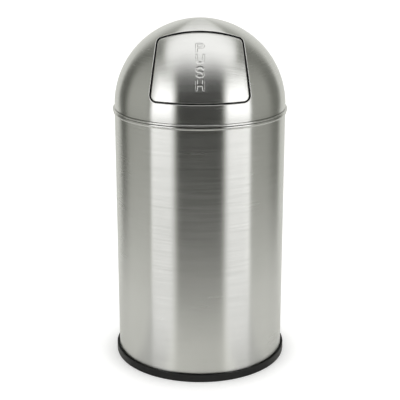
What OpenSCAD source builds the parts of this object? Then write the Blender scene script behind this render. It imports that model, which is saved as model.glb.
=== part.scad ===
// Dome top waste receptacle with a push flap, an inner liner and a lift-off dome.
// Millimetres, +Z up, the front with the flap faces -Y, the floor is z = 0.

/* [Body tube] */
// Outer diameter of the body tube
body_d = 350; // [340:1:380]
// Thickness of the stainless sheet of tube, dome and flap
sheet_t = 0.8; // [0.6:0.1:1]
// Height of the centre of the bead rolled round the tube's top edge
body_bead_z = 526.2; // [480:0.1:600]
// Radius of that bead's section
body_bead_r = 3; // [2.6:0.1:3.2]
// How far that bead stands out from the tube
body_bead_proud = 2.7; // [2:0.1:3.2]

/* [Base] */
// Height of the black base ring
ring_h = 16; // [14:0.5:24]
// How far the base ring stands out from the tube
ring_proud = 5.5; // [4:0.1:8]
// Thickness of the ring under the tube's edge
ring_floor = 5; // [3:0.5:6]
// Width of the flange that the ring turns in under the base
ring_flange = 12; // [6:1:25]
// Height of the ring's wall inside the tube
ring_inner_h = 12; // [9:0.5:13]
// Thickness of that wall
ring_wall_t = 3; // [2:0.5:4]
// Thickness of the flange
ring_flange_t = 2.5; // [1.5:0.5:4]
// Radius of the round along the ring's top edge
ring_round = 2; // [1:0.5:4]
// Radius of the round along the ring's lower edge
ring_foot_round = 1.2; // [0.6:0.2:2]
// Height of the bottom plate's upturned edge
plate_edge_h = 14; // [8:1:25]
// How far the middle of the bottom plate is pressed up
plate_step = 4; // [2:0.5:6]
// How far inside the liner's foot that middle begins
plate_step_in = 10; // [6:1:30]

/* [Dome] */
// Radius of the section of the bead round the dome's lower edge
dome_bead_r = 3.4; // [3:0.1:3.6]
// How far that bead stands out from the dome's skirt
dome_bead_proud = 4.05; // [3.4:0.05:4.4]
// Height of the straight skirt above the middle of that bead
skirt_h = 6.5; // [6.2:0.1:14]
// Height of the collar's welded band above the skirt
collar_grip = 7; // [4:0.5:7.5]
// Depth of the collar below the middle of the dome's bead
collar_depth = 25; // [15:1:30]
// Thickness of the collar
collar_t = 0.8; // [0.6:0.1:1]
// Height over which the collar steps in from the dome to the tube's bead
collar_step_h = 3; // [2.5:0.5:5]
// Depth of the lip turned in round the flap's opening, from the outer face
lip_depth = 2; // [1.4:0.1:2.2]

/* [Flap] */
// Height of the flap's lower edge above the middle of the dome's bead
flap_sill_h = 41.8; // [36:0.2:46]
// Height of the flap, seen from the front
flap_h = 120.7; // [110:0.1:124]
// Width between the flap's side lines at its lower edge
flap_w = 190.8; // [170:0.1:196]
// Lean of each side line from the vertical, in degrees
flap_lean = 7.1; // [5:0.1:9]
// Radius of the arched top edge
flap_top_r = 218.6; // [190:0.2:300]
// Radius of the upper corners
flap_top_corner_r = 10.6; // [8:0.1:16]
// Radius of the lower corners
flap_low_corner_r = 9.6; // [6:0.1:16]
// Open gap between the flap and its opening
flap_gap = 2.8; // [2.4:0.1:3.6]
// Depth of the flap's turned-in edge, from the outer face
hem_depth = 3; // [2:0.1:3.4]

/* [Hinge] */
// Radius of the hinge rod
rod_r = 2.5; // [2:0.1:3]
// Depth of the rod's middle below the dome's outer face
rod_depth = 30.2; // [29:0.1:32]
// Distance of the rod behind the flap's top edge, along the dome's face
rod_back = 7.2; // [6:0.1:9]
// Distance of each flap lug from the middle
lug_x = 48; // [36:1:52]
// Thickness of the lugs and the stop tabs
lug_t = 1.2; // [1:0.1:1.6]
// Width of the lug's foot on the flap
lug_foot = 12; // [8:1:16]
// How far the lug's foot reaches below the rod
lug_low = 8; // [7:0.5:12]
// How far the lug's foot reaches above the rod
lug_high = 12; // [9:0.5:16]
// Distance behind the lug's foot at which the lug's web is at its full height
lug_neck = 10.4; // [6:0.2:20]
// Thickness of the rod brackets
bracket_t = 1.5; // [1.2:0.1:2]
// Width of the bracket's foot under the dome
bracket_foot = 20; // [16:1:22]
// Length of the bracket's foot, front to back
bracket_l = 24; // [20:1:30]
// Distance of that foot behind the flap's top edge, at the foot's outer side
bracket_back = 14.4; // [13.4:0.2:20]
// Rise of the bracket's web from the rod to its front edge
bracket_neck = 22; // [20:1:26]
// Radius of the eye round the rod on lugs and brackets
eye_r = 6.5; // [5.5:0.1:7.5]
// Radius of the studs welded under the dome
stud_r = 2; // [1.5:0.1:2.2]
// Distance of the studs from the ends of the bracket's foot
stud_edge = 6; // [5:0.5:7]
// Play of the studs in the bracket's holes
stud_play = 0.2; // [0.1:0.05:0.3]
// How far a stud stands out of its nut
stud_end = 2; // [1:0.5:3]
// Width across the flats of the nuts on the studs
nut_af = 7; // [6:0.5:8]
// Thickness of the nuts
nut_t = 3.2; // [2.5:0.1:4]
// Outer radius of the caps pushed on the rod's ends
clip_r = 5.5; // [4.5:0.1:7]
// Thickness of those caps
clip_t = 1.2; // [0.8:0.1:2]
// How far the rod stands out of its caps
rod_end = 3; // [1:0.5:5]

/* [Springs] */
// Radius of the spring wire
spring_wire_r = 0.9; // [0.6:0.05:0.95]
// Space between the rod and the coil
spring_play = 0.5; // [0.4:0.1:1]
// Space between the coil and the lug and the bracket beside it
spring_side_gap = 0.4; // [0.3:0.1:1]
// Turns of each spring
spring_turns = 5; // [3:1:6]
// Distance from turn to turn
spring_pitch = 2.4; // [2.3:0.1:2.8]
// Length of the leg under the bracket's perch
spring_back_leg = 17; // [14:1:22]
// Distance behind the lug's foot at which the other leg hooks under the lug
spring_hook_back = 3.4; // [2:0.2:8]
// Length of that hook across the lug
spring_hook_l = 4.5; // [3:0.5:8]
// Length of the perch along the spring's leg
perch_l = 3; // [2:0.5:5]
// Thickness of the perch
perch_t = 1.5; // [1:0.1:2]

/* [Stops] */
// Height of the stop tabs' middle above the flap's lower edge
stop_h = 26; // [20:1:50]
// Height of a stop tab
stop_tab_h = 16; // [12:1:24]
// How far a stop tab reaches past the flap's side line
stop_reach = 14; // [12:1:18]
// Width of the pad of a stop tab on the flap
stop_pad = 11; // [8:1:20]
// Distance of the tab's bend inside the flap's side line
stop_bend = 5; // [4:0.5:8]
// How far the tab's arm passes under the flap's turned-in edge
stop_drop = 2.1; // [1.8:0.1:4]
// Width of the rubber bumper on the stop tab
bumper_w = 7; // [5:0.5:8]
// Distance of the bumper from the tab's upper and lower edges
bumper_inset = 2; // [0.5:0.5:4]

/* [Liner] */
// How much smaller the liner's radius is at its foot than under its rim
liner_taper = 10; // [2:0.5:20]
// Thickness of the galvanised sheet
liner_t = 0.7; // [0.5:0.1:1]
// Distance of the liner's rim below the middle of the tube's bead
liner_rim_drop = 26.2; // [22:0.1:80]
// Radius of the rim's rolled section
liner_rim_r = 2.5; // [1.8:0.1:3]
// Distance of that section's centre outside the liner's wall
liner_rim_proud = 0.7; // [0:0.1:1.2]
// Height of the liner's base above its foot
liner_base_h = 8; // [7:0.5:15]
// Height of the base's turned-down edge above the liner's foot
liner_base_edge = 1; // [0.5:0.5:3]

/* [Bail] */
// Radius of the bail's wire
bail_wire_r = 2; // [1.5:0.1:2.2]
// Space between the tube's bead and the bail's wire
bail_space = 0.75; // [0.5:0.05:2]
// Distance of the bail's pivot below the rim's top
bail_drop = 22; // [20:1:30]
// Radius of the heads that hold the bail's pins in the ears
bail_head_r = 3; // [2.5:0.1:3.5]
// Thickness of those heads
bail_head_t = 1.6; // [1:0.1:2]
// Side play of the bail between its ears
bail_side_play = 0.6; // [0.4:0.1:0.8]
// Width of a bail ear
ear_w = 18; // [14:1:24]
// Thickness of a bail ear
ear_t = 1.2; // [1:0.1:1.4]
// Distance from the rim's roll down to the ear's top
ear_top_gap = 0.6; // [0.4:0.1:2]
// How far an ear reaches below the bail's pivot
ear_low = 18; // [16:1:30]
// Half height of the ear's raised middle
ear_mid = 7; // [5:0.5:7]
// Height over which the ear steps out to that middle
ear_step_h = 2.5; // [2:0.1:2.6]
// Radius of the ear rivets' shanks
rivet_r = 2; // [1.5:0.1:2.2]
// Radius of the ear rivets' heads
rivet_head_r = 3; // [2.8:0.1:3.2]
// Thickness of the rivets' heads
rivet_head_t = 1.2; // [0.8:0.1:1.6]
// Distance of the rivets from the ear's ends
rivet_edge = 3.5; // [3.3:0.1:4]

/* [Clearances] */
// Space left where pieces seat on each other
seat_gap = 0.3; // [0.2:0.05:0.4]
// Space left where sheets are welded or screwed flat to each other
weld_gap = 0.2; // [0.1:0.05:0.3]
// Radial play of turning and pushed-in pins
pin_play = 0.08; // [0.05:0.01:0.1]
// Play of the dome's collar inside the tube's bead
collar_play = 0.5; // [0.3:0.05:0.8]

/* [Hidden] */
$fn = 180;

body_r = body_d / 2;
tube_inner_r = body_r - sheet_t;
tube_foot_z = ring_floor + seat_gap;
body_bead_c = body_r + body_bead_proud - body_bead_r;

// The dome's bead rests on the tube's bead
dome_bead_c = body_r + dome_bead_proud - dome_bead_r;
bead_reach = body_bead_r + dome_bead_r + seat_gap;
dome_bead_z = body_bead_z + sqrt(pow(bead_reach, 2) - pow(dome_bead_c - body_bead_c, 2));

// The dome is a half sphere of the tube's radius over the straight skirt
spring_z = dome_bead_z + skirt_h;

flap_bottom_z = dome_bead_z + flap_sill_h;
flap_top_z = flap_bottom_z + flap_h;
rod_lift = asin((flap_top_z - spring_z) / body_r) + rod_back / body_r * 180 / PI;
rod_y = -(body_r - rod_depth) * cos(rod_lift);
rod_z = spring_z + (body_r - rod_depth) * sin(rod_lift);
// The lug's foot lies under the flap, this far in front of the rod at its lower edge
lug_under = sheet_t + weld_gap + lug_t;
lug_reach = rod_y - dome_y(lug_x, rod_z - lug_low, lug_under);

spring_mean_r = rod_r + spring_play + spring_wire_r;
spring_start_x = lug_x + lug_t + spring_side_gap + spring_wire_r;
spring_end_x = spring_start_x + spring_turns * spring_pitch;
bracket_x = spring_end_x + spring_wire_r + spring_side_gap;
bracket_end_x = bracket_x + bracket_foot;
bracket_front_y = dome_y(bracket_end_x, flap_top_at(bracket_end_x)) + bracket_back;
cap_x = bracket_x + bracket_t + seat_gap;
rod_half = cap_x + clip_t + rod_end;
bracket_under = sheet_t + weld_gap + bracket_t;
// Depth of the studs' ends below the dome's face
stud_tip = bracket_under + weld_gap + nut_t + stud_end;
// The webs of lugs and brackets start inside the round eye
eye_in = eye_r * 0.8;

plate_z = ring_inner_h + seat_gap;
plate_r = tube_inner_r - seat_gap;
liner_foot_z = plate_z + sheet_t + seat_gap;
liner_base_z = liner_foot_z + liner_base_h;
liner_rim_z = body_bead_z - liner_rim_drop;

// The bail passes the tube's bead, and the liner's rim passes inside the upright bail
bail_pivot_z = liner_rim_z - bail_drop;
bail_r = body_bead_c - body_bead_r - bail_space - bail_wire_r;
liner_rim_out = sqrt(pow(bail_r, 2) - pow(bail_drop, 2)) - bail_wire_r - seat_gap;
liner_top_r = liner_rim_out - liner_rim_r - liner_rim_proud;
liner_foot_r = liner_top_r - liner_taper;
function liner_r(z) =
    liner_foot_r + (liner_top_r - liner_foot_r) * (z - liner_foot_z) / (liner_rim_z - liner_foot_z);

// The bail hangs down behind the liner until it meets the wall
bail_droop = acos((liner_r(bail_pivot_z - bail_r / 4) + bail_wire_r + seat_gap) / bail_r);
// The wire's ends are turned down a little where they pass the ears
bail_pin_r = bail_wire_r - 0.1;
// The curved wire comes nearer to the ear with the distance from its pin
ear_bend_gap = (pow(ear_w / 2, 2) + pow(ear_mid, 2)) / (2 * bail_r);
ear_mid_x = bail_r - bail_wire_r - seat_gap - ear_bend_gap - ear_t;
ear_top_z = liner_rim_z - 2 * liner_rim_r - ear_top_gap;
ear_low_z = bail_pivot_z - ear_low;
ear_seat_x = liner_r(ear_top_z) + weld_gap;
rivet_z = [ear_low_z + rivet_edge, ear_top_z - rivet_edge];

// Points along an arc
function arc(c, r, a0, a1, n) =
    [for (i = [0 : n]) let (a = a0 + (a1 - a0) * i / n) c + r * [cos(a), sin(a)]];

// Outer radius of the dome at height z, i below its outer face
function dome_r(z, i = 0) = z < spring_z ? body_r - i : sqrt(pow(body_r - i, 2) - pow(z - spring_z, 2));

// Depth of the dome's face behind the front at a place on it
function dome_y(x, z, i = 0) = -sqrt(max(0, pow(dome_r(z, i), 2) - x * x));

// The flap's outline seen from the front, grown by g, from its lower edge up
function flap_outline(g) = let (
    side = flap_w / 2 * cos(flap_lean),
    low_c = [(side - flap_low_corner_r * (1 + sin(flap_lean))) / cos(flap_lean), flap_low_corner_r],
    top_cz = flap_h - flap_top_r,
    k = (side - flap_top_corner_r) / cos(flap_lean),
    m = tan(flap_lean),
    rho = flap_top_r - flap_top_corner_r,
    b = k * m + top_cz,
    up_z = (b + sqrt(b * b - (m * m + 1) * (k * k + top_cz * top_cz - rho * rho))) / (m * m + 1),
    up_c = [k - m * up_z, up_z],
    up_a = atan2(up_z - top_cz, up_c[0]),
    right = concat(arc(low_c, flap_low_corner_r + g, -90, flap_lean, 8),
                   arc(up_c, flap_top_corner_r + g, flap_lean, up_a, 7),
                   arc([0, top_cz], flap_top_r + g, up_a, 90, 10))
) concat(right, [for (i = [len(right) - 2 : -1 : 0]) [-right[i][0], right[i][1]]]);

// Height of the flap's arched top edge at x from the middle
function flap_top_at(x) = flap_top_z - flap_top_r + sqrt(pow(flap_top_r, 2) - x * x);

// Half width of the flap at height h above its lower edge
function flap_half(h) = flap_w / 2 - h * tan(flap_lean);

// Everything inside the grown outline, from the middle plane to past the front
module front_prism(g) {
    translate([0, 0, flap_bottom_z]) rotate([90, 0, 0])
        linear_extrude(body_r + 20) polygon(flap_outline(g));
}

// Half section of what lies inside the dome's outer face, i below it
module dome_section(i) {
    translate([0, dome_bead_z]) square([body_r - i, skirt_h]);
    intersection() {
        translate([0, spring_z]) circle(r = body_r - i);
        translate([0, spring_z]) square(body_r);
    }
}

// The dome's skin between two depths below its outer face
module dome_skin(i0, i1) {
    rotate_extrude() difference() {
        dome_section(i0);
        dome_section(i1);
    }
}

module bead(c, z, r) {
    translate([c, z]) circle(r = r);
}

module both_sides(side) {
    mirror([side < 0 ? 1 : 0, 0, 0]) children();
}

// Places its children on the dome at (x, y), i below its outer face, with z outwards
module on_dome(x, y, i) {
    translate([0, 0, spring_z])
        rotate([0, asin(norm([x, y]) / body_r), atan2(y, x)])
            translate([0, 0, body_r - i]) children();
}

stud_x = bracket_x + (bracket_t + bracket_foot) / 2;
stud_ys = [bracket_front_y + stud_edge, bracket_front_y + bracket_l - stud_edge];

module at_studs(i) {
    for (y = stud_ys) on_dome(stud_x, y, i) children();
}

module base_ring() {
    outer = body_r + ring_proud;
    groove_out = body_r + seat_gap;
    groove_in = tube_inner_r - seat_gap;
    wall_in = groove_in - ring_wall_t;
    color("#262625") rotate_extrude() polygon(concat(
        [[wall_in - ring_flange, 0]],
        arc([outer - ring_foot_round, ring_foot_round], ring_foot_round, -90, 0, 4),
        arc([outer - ring_round, ring_h - ring_round], ring_round, 0, 90, 5),
        [[groove_out, ring_h], [groove_out, ring_floor], [groove_in, ring_floor], [groove_in, ring_inner_h],
         [wall_in, ring_inner_h], [wall_in, ring_flange_t], [wall_in - ring_flange, ring_flange_t]]));
}

module bottom_plate() {
    step_r = liner_foot_r - plate_step_in;
    // Keeps the sheet as thick on the 45 degree step as beside it
    shift = sheet_t * tan(22.5);
    color("#9a9c9d") rotate_extrude() polygon([
        [0, plate_z + plate_step], [step_r - plate_step, plate_z + plate_step], [step_r, plate_z],
        [plate_r, plate_z], [plate_r, plate_z + plate_edge_h], [plate_r - sheet_t, plate_z + plate_edge_h],
        [plate_r - sheet_t, plate_z + sheet_t], [step_r + shift, plate_z + sheet_t],
        [step_r - plate_step + shift, plate_z + plate_step + sheet_t], [0, plate_z + plate_step + sheet_t]]);
}

module body_shell() {
    color("#b9bab8") rotate_extrude() {
        translate([tube_inner_r, tube_foot_z]) square([sheet_t, body_bead_z - tube_foot_z]);
        bead(body_bead_c, body_bead_z, body_bead_r);
    }
}

module dome_shell() {
    color("#c4c5c3") difference() {
        union() {
            dome_skin(0, sheet_t);
            rotate_extrude() bead(dome_bead_c, dome_bead_z, dome_bead_r);
            intersection() {
                dome_skin(0, lip_depth);
                front_prism(flap_gap + sheet_t);
            }
            for (side = [-1, 1]) both_sides(side) at_studs(stud_tip)
                cylinder(r = stud_r, h = stud_tip - sheet_t / 2);
        }
        front_prism(flap_gap);
    }
}

module dome_collar() {
    low_r = body_bead_c - body_bead_r - collar_play;
    high_r = tube_inner_r - seat_gap;
    bend_z = dome_bead_z + dome_bead_r;
    top_z = spring_z + collar_grip;
    foot_z = dome_bead_z - collar_depth;
    color("#a9abab") rotate_extrude() polygon([
        [low_r, foot_z], [low_r, bend_z], [high_r, bend_z + collar_step_h], [high_r, top_z],
        [high_r - collar_t, top_z], [high_r - collar_t, bend_z + collar_step_h + collar_t / 2],
        [low_r - collar_t, bend_z + collar_t / 2], [low_r - collar_t, foot_z]]);
}

// Places its children on the hinge line, x from the middle, with their z along it
module on_rod(x) {
    translate([x, rod_y, rod_z]) rotate([0, 90, 0]) children();
}

// Plate across the hinge line from x0 to x0 + t, cut to a side view given about the rod
module side_plate(x0, t, pts) {
    translate([x0, rod_y, rod_z]) rotate([90, 0, 90]) linear_extrude(t) {
        polygon(pts);
        circle(r = eye_r);
    }
}

module rod_bracket() {
    perch_y = spring_back_leg - perch_l - spring_wire_r;
    perch_z = spring_mean_r + spring_wire_r + seat_gap;
    toe_y = bracket_front_y - rod_y;
    heel_y = toe_y + bracket_l;
    web = [[-eye_in, 0], [toe_y, bracket_neck], [toe_y, body_r], [heel_y, body_r],
           [heel_y, spring_mean_r], [0, -eye_in]];
    difference() {
        union() {
            intersection() {
                side_plate(bracket_x, bracket_t, web);
                translate([0, 0, spring_z]) sphere(r = body_r - sheet_t - weld_gap);
            }
            intersection() {
                dome_skin(sheet_t + weld_gap, bracket_under);
                translate([bracket_x, bracket_front_y, spring_z]) cube([bracket_foot, bracket_l, body_r]);
            }
            translate([spring_end_x - spring_wire_r, rod_y + perch_y, rod_z + perch_z])
                cube([bracket_x + bracket_t / 2 - spring_end_x + spring_wire_r, perch_l, perch_t]);
        }
        on_rod(bracket_x - 1) cylinder(r = rod_r + pin_play, h = bracket_t + 2);
        at_studs(bracket_under + 2) cylinder(r = stud_r + stud_play, h = bracket_t + 4);
    }
}

module rod_bracket_left() { color("#8d9092") both_sides(-1) rod_bracket(); }
module rod_bracket_right() { color("#8d9092") both_sides(1) rod_bracket(); }

module bracket_nuts() {
    color("#75787a") for (side = [-1, 1]) both_sides(side) at_studs(bracket_under + weld_gap)
        translate([0, 0, -nut_t]) difference() {
            cylinder(d = nut_af / cos(30), h = nut_t, $fn = 6);
            translate([0, 0, -1]) cylinder(r = stud_r + pin_play, h = nut_t + 2);
        }
}

module hinge_rod() {
    color("#aeb1b3") on_rod(-rod_half) cylinder(r = rod_r, h = 2 * rod_half);
}

module rod_caps() {
    color("#55585a") for (side = [-1, 1]) both_sides(side)
        on_rod(cap_x) difference() {
            cylinder(r = clip_r, h = clip_t);
            translate([0, 0, -1]) cylinder(r = rod_r + pin_play / 2, h = clip_t + 2);
        }
}

// One torsion spring as a single wire: a hook under the flap's lug, the leg up to the top of the
// coil, the coil round the rod, and the leg that bears on the bracket's perch from below
hook_z = -lug_low - seat_gap - spring_wire_r;
hook_y = spring_hook_back - lug_reach;
leg_slope = atan2(-hook_z, -hook_y) + asin(spring_mean_r / norm([hook_y, hook_z]));
turn_steps = 8;
coil_steps = turn_steps * spring_turns;
function coil_a(i) = 90 + leg_slope - (360 * spring_turns + leg_slope) * i / coil_steps;
function coil_at(i) = let (a = coil_a(i), x = spring_start_x + spring_turns * spring_pitch * i / coil_steps)
    [x, spring_mean_r * cos(a), spring_mean_r * sin(a)];
// Centre line of the wire about the rod, and at each place a direction square to the wire
hook = [spring_start_x, hook_y, hook_z];
back_leg = [spring_end_x, spring_back_leg, spring_mean_r];
leg_across = [0, cos(90 + leg_slope), sin(90 + leg_slope)];
wire_path = concat(
    [hook - [spring_hook_l, 0, 0], hook],
    [for (k = [1 : 3]) hook + (coil_at(0) - hook) * k / 4],
    [for (i = [0 : coil_steps]) coil_at(i)],
    [(coil_at(coil_steps) + back_leg) / 2, back_leg]);
wire_across = concat(
    [for (k = [0 : 4]) leg_across],
    [for (i = [0 : coil_steps]) [0, cos(coil_a(i)), sin(coil_a(i))]],
    [[0, 0, 1], [0, 0, 1]]);
wire_sides = 6;
wire_n = len(wire_path);
function unit(v) = v / norm(v);
function wire_ring(i) = let (
    along = unit(wire_path[min(i + 1, wire_n - 1)] - wire_path[max(i - 1, 0)]),
    beside = unit(cross(along, wire_across[i])))
    [for (s = [0 : wire_sides - 1]) let (b = 360 * s / wire_sides)
        [0, rod_y, rod_z] + wire_path[i] + spring_wire_r * (cos(b) * wire_across[i] + sin(b) * beside)];
// Least gap of the wire to itself, measured between places about one turn or more apart
spring_self_gap = min([for (i = [0 : wire_n - 1 - turn_steps]) for (j = [i + turn_steps : wire_n - 1])
    norm(wire_path[i] - wire_path[j])]) - 2 * spring_wire_r;
echo(least_gap_of_spring_to_itself = spring_self_gap);

module flap_spring() {
    points = [for (i = [0 : wire_n - 1]) each wire_ring(i)];
    faces = concat(
        [[for (s = [0 : wire_sides - 1]) s]],
        [[for (s = [0 : wire_sides - 1]) wire_n * wire_sides - 1 - s]],
        [for (i = [0 : wire_n - 2]) for (s = [0 : wire_sides - 1]) let (t = (s + 1) % wire_sides)
            [i * wire_sides + t, i * wire_sides + s, (i + 1) * wire_sides + s]],
        [for (i = [0 : wire_n - 2]) for (s = [0 : wire_sides - 1]) let (t = (s + 1) % wire_sides)
            [i * wire_sides + t, (i + 1) * wire_sides + s, (i + 1) * wire_sides + t]]);
    polyhedron(points = points, faces = faces);
}

module flap_spring_left() { color("#6f7375") both_sides(-1) flap_spring(); }
module flap_spring_right() { color("#6f7375") both_sides(1) flap_spring(); }

module flap_panel() {
    color("#cfd0ce") {
        intersection() {
            dome_skin(0, sheet_t);
            front_prism(0);
        }
        intersection() {
            dome_skin(0, hem_depth);
            difference() {
                front_prism(0);
                front_prism(-sheet_t);
            }
        }
    }
}

module flap_lug() {
    neck_y = lug_neck - lug_reach;
    web = [[0, -eye_in], [0, eye_in], [neck_y, lug_high], [-body_r, lug_high],
           [-body_r, -lug_low], [neck_y, -lug_low]];
    difference() {
        union() {
            intersection() {
                side_plate(lug_x, lug_t, web);
                translate([0, 0, spring_z]) sphere(r = body_r - sheet_t - weld_gap);
            }
            intersection() {
                dome_skin(sheet_t + weld_gap, lug_under);
                translate([lug_x + lug_t - lug_foot, -body_r, rod_z - lug_low])
                    cube([lug_foot, body_r, lug_low + lug_high]);
            }
        }
        on_rod(lug_x - 1) cylinder(r = rod_r + pin_play, h = lug_t + 2);
    }
}

module flap_lug_left() { color("#8d9092") both_sides(-1) flap_lug(); }
module flap_lug_right() { color("#8d9092") both_sides(1) flap_lug(); }

stop_z = flap_bottom_z + stop_h;
stop_side = flap_half(stop_h + stop_tab_h / 2);
stop_end = flap_half(stop_h) + stop_reach;
stop_face = hem_depth + stop_drop;

// Front-view box from x0 to x1 at the stops' height
module stop_box(x0, x1, h) {
    translate([x0, -body_r - 1, stop_z - h / 2]) cube([x1 - x0, body_r, h]);
}

module stop_tab() {
    bend = stop_side - stop_bend;
    intersection() {
        dome_skin(sheet_t + weld_gap, lug_under);
        stop_box(bend - stop_pad, bend + lug_t, stop_tab_h);
    }
    intersection() {
        dome_skin(sheet_t + weld_gap, stop_face + lug_t);
        stop_box(bend, bend + lug_t, stop_tab_h);
    }
    intersection() {
        dome_skin(stop_face, stop_face + lug_t);
        stop_box(bend, stop_end, stop_tab_h);
    }
}

module stop_bumper() {
    intersection() {
        dome_skin(sheet_t + seat_gap, stop_face - weld_gap);
        stop_box(stop_end - bumper_w, stop_end, stop_tab_h - 2 * bumper_inset);
    }
}

module stop_tab_left() { color("#8d9092") both_sides(-1) stop_tab(); }
module stop_tab_right() { color("#8d9092") both_sides(1) stop_tab(); }
module stop_bumper_left() { color("#1d1d1d") both_sides(-1) stop_bumper(); }
module stop_bumper_right() { color("#1d1d1d") both_sides(1) stop_bumper(); }

module liner_wall_section(i) {
    polygon([[0, liner_foot_z], [liner_foot_r - i, liner_foot_z],
             [liner_top_r - i, liner_rim_z - liner_rim_r], [0, liner_rim_z - liner_rim_r]]);
}

module liner_shell() {
    color("#a3a8ab") difference() {
        rotate_extrude() {
            difference() {
                liner_wall_section(0);
                liner_wall_section(liner_t);
            }
            bead(liner_top_r + liner_rim_proud, liner_rim_z - liner_rim_r, liner_rim_r);
        }
        for (side = [-1, 1]) both_sides(side) for (z = rivet_z)
            translate([liner_foot_r, 0, z]) rotate([0, 90, 0]) cylinder(r = rivet_r + pin_play, h = 20);
    }
}

module liner_base() {
    edge_z = liner_foot_z + liner_base_edge;
    top_r = liner_r(liner_base_z) - liner_t - seat_gap;
    low_r = liner_r(edge_z) - liner_t - seat_gap;
    color("#989da0") rotate_extrude() polygon([
        [0, liner_base_z - liner_t], [top_r - liner_t, liner_base_z - liner_t], [low_r - liner_t, edge_z],
        [low_r, edge_z], [top_r, liner_base_z], [0, liner_base_z]]);
}

module liner_ear() {
    mid_low = bail_pivot_z - ear_mid;
    mid_high = bail_pivot_z + ear_mid;
    path = [[ear_seat_x, ear_low_z], [ear_seat_x, mid_low - ear_step_h], [ear_mid_x, mid_low],
            [ear_mid_x, mid_high], [ear_seat_x, mid_high + ear_step_h], [ear_seat_x, ear_top_z]];
    difference() {
        rotate([90, 0, 0]) linear_extrude(ear_w, center = true)
            polygon(concat([for (p = path) p + [ear_t, 0]], [for (i = [len(path) - 1 : -1 : 0]) path[i]]));
        translate([ear_mid_x - 1, 0, bail_pivot_z]) rotate([0, 90, 0])
            cylinder(r = bail_pin_r + pin_play, h = ear_t + 2);
        for (z = rivet_z) translate([ear_seat_x - 1, 0, z]) rotate([0, 90, 0])
            cylinder(r = rivet_r + pin_play, h = ear_t + 2);
    }
}

module liner_ear_left() { color("#7d8284") both_sides(-1) liner_ear(); }
module liner_ear_right() { color("#7d8284") both_sides(1) liner_ear(); }

module ear_rivets() {
    color("#c2c5c6") for (side = [-1, 1]) both_sides(side) for (z = rivet_z) {
        in_x = liner_r(z) - liner_t - seat_gap - rivet_head_t;
        out_x = ear_seat_x + ear_t + weld_gap;
        translate([in_x, 0, z]) rotate([0, 90, 0]) {
            cylinder(r = rivet_head_r, h = rivet_head_t);
            cylinder(r = rivet_r, h = out_x - in_x + rivet_head_t / 2);
            translate([0, 0, out_x - in_x]) cylinder(r = rivet_head_r, h = rivet_head_t);
        }
    }
}

module bail_handle() {
    head_x = ear_mid_x - bail_side_play - bail_head_t;
    // The arc runs one degree past each pin, so that the pins start inside the wire
    color("#8f9496") translate([0, 0, bail_pivot_z]) {
        rotate([-bail_droop, 0, 0]) rotate([0, 0, -1])
            rotate_extrude(angle = 182) translate([bail_r, 0]) circle(r = bail_wire_r);
        for (side = [-1, 1]) both_sides(side) rotate([0, 90, 0]) {
            translate([0, 0, head_x]) cylinder(r = bail_pin_r, h = bail_r - head_x);
            translate([0, 0, head_x]) cylinder(r = bail_head_r, h = bail_head_t);
        }
    }
}

base_ring();
bottom_plate();
body_shell();
dome_shell();
dome_collar();
rod_bracket_left();
rod_bracket_right();
bracket_nuts();
hinge_rod();
rod_caps();
flap_spring_left();
flap_spring_right();
flap_panel();
flap_lug_left();
flap_lug_right();
stop_tab_left();
stop_tab_right();
stop_bumper_left();
stop_bumper_right();
liner_shell();
liner_base();
liner_ear_left();
liner_ear_right();
ear_rivets();
bail_handle();
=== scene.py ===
import math

import bpy
import numpy as np
from mathutils.geometry import delaunay_2d_cdt
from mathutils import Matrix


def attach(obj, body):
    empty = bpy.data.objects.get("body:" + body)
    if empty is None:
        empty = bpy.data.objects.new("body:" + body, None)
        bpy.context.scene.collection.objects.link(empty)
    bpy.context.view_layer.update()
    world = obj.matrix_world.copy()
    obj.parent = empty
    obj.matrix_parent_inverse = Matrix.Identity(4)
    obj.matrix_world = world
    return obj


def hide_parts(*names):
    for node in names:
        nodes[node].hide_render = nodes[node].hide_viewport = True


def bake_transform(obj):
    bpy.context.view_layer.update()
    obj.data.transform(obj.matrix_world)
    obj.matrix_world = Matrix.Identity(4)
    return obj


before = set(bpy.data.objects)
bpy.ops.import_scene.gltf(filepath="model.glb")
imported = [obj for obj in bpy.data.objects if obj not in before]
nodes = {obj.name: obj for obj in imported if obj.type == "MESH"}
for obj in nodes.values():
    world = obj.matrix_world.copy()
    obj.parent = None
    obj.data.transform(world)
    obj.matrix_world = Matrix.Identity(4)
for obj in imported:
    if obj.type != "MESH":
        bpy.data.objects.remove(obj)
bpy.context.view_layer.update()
scene = bpy.context.scene

# The radius of tube and dome, and the height of the dome's centre, in metres, as the CAD has them
BODY_R = 0.175
SPHERE_Z = 0.539332


# ---------------------------------------------------------------- camera
# Fitted to the photo: place in metres, tilt downwards in degrees, lens and sensor in millimetres
CAMERA_PLACE = (0, -2.0715, 0.9753)
CAMERA_TILT = 16.139
CAMERA_LENS, CAMERA_SENSOR, CAMERA_SHIFT = 92.502, 36, -0.05

cam_data = bpy.data.cameras.new("camera")
cam_data.sensor_width = CAMERA_SENSOR
cam_data.lens = CAMERA_LENS
cam_data.shift_y = CAMERA_SHIFT
camera = bpy.data.objects.new("camera", cam_data)
camera.location = CAMERA_PLACE
camera.rotation_euler = (math.radians(90 - CAMERA_TILT), 0, 0)
scene.collection.objects.link(camera)
scene.camera = camera
scene.view_settings.view_transform = "Standard"


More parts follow.
